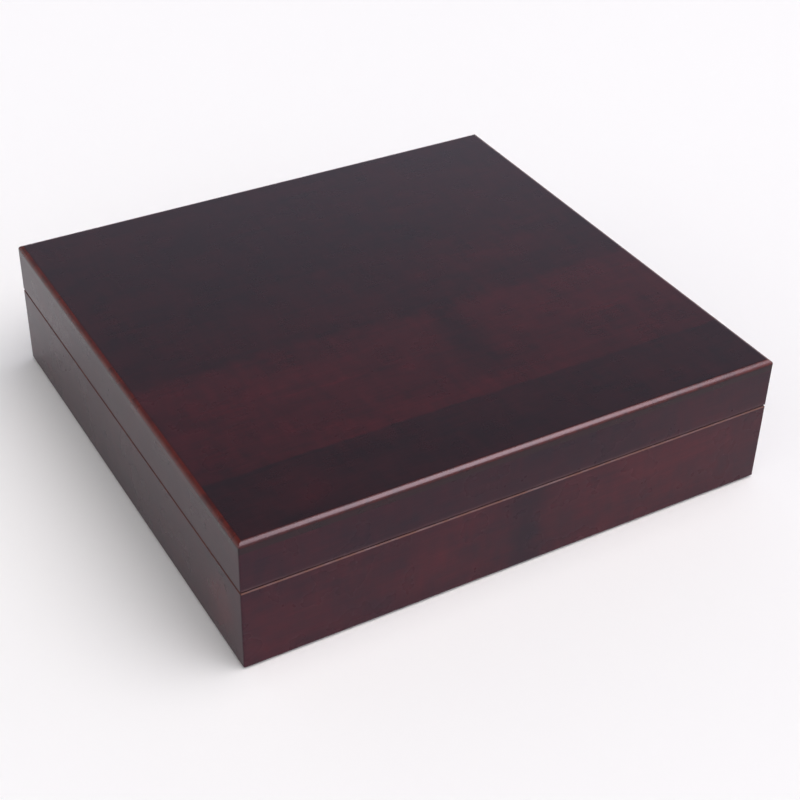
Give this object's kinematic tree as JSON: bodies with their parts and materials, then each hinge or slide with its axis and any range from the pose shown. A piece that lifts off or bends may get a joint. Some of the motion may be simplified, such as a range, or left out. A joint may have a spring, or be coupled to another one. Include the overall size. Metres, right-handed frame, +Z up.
{
  "type": "hinged wooden display case",
  "caption": "Shallow square dark wooden case with a hinged lid, rounded top edges, a fine parting line and a padded lining, for showing and keeping a folded cloth or medals.",
  "frame": {"origin": "middle of the case's outline on the surface it stands on", "axes": "+X to the right along the front, +Y from the front to the hinged back, +Z up"},
  "size_m": [0.305, 0.2931, 0.077],
  "materials": {
    "rosewood": "dark reddish brown stain under satin lacquer",
    "plywood": "plain sanded plywood",
    "spline_wood": "plain sawn hardwood",
    "brass": "polished and lacquered",
    "nickel_plate": "bright nickel plate",
    "velvet": "short black velvet pile",
    "satin": "champagne satin weave",
    "felt": "thin black wool felt"
  },
  "bodies": {
    "tray": {"base_back_liner": "velvet", "base_back_wall": "rosewood", "base_bottom_panel": "plywood", "base_corner_splines": "spline_wood", "base_felt_sheet": "felt", "base_floor_pad": "velvet", "base_front_liner": "velvet", "base_front_wall": "rosewood", "base_left_liner": "velvet", "base_left_wall": "rosewood", "base_magnets": "nickel_plate", "base_right_liner": "velvet", "base_right_wall": "rosewood", "hinge_base_screws": "brass", "hinge_left_base_leaf": "brass", "hinge_left_pin": "brass", "hinge_right_base_leaf": "brass", "hinge_right_pin": "brass"},
    "lid": {"hinge_left_lid_leaf": "brass", "hinge_lid_screws": "brass", "hinge_right_lid_leaf": "brass", "lid_back_liner": "satin", "lid_back_wall": "rosewood", "lid_corner_splines": "spline_wood", "lid_front_liner": "satin", "lid_front_wall": "rosewood", "lid_left_liner": "satin", "lid_left_wall": "rosewood", "lid_lining_pad": "satin", "lid_magnets": "nickel_plate", "lid_right_liner": "satin", "lid_right_wall": "rosewood", "lid_top_panel": "rosewood"}
  },
  "joints": [
    {"name": "lid_hinge", "type": "hinge", "parent": "tray", "child": "lid", "pos_m": [0, 0.1451, 0.048], "axis": [-1, 0, 0], "range_deg": [0, 100]}
  ]
}
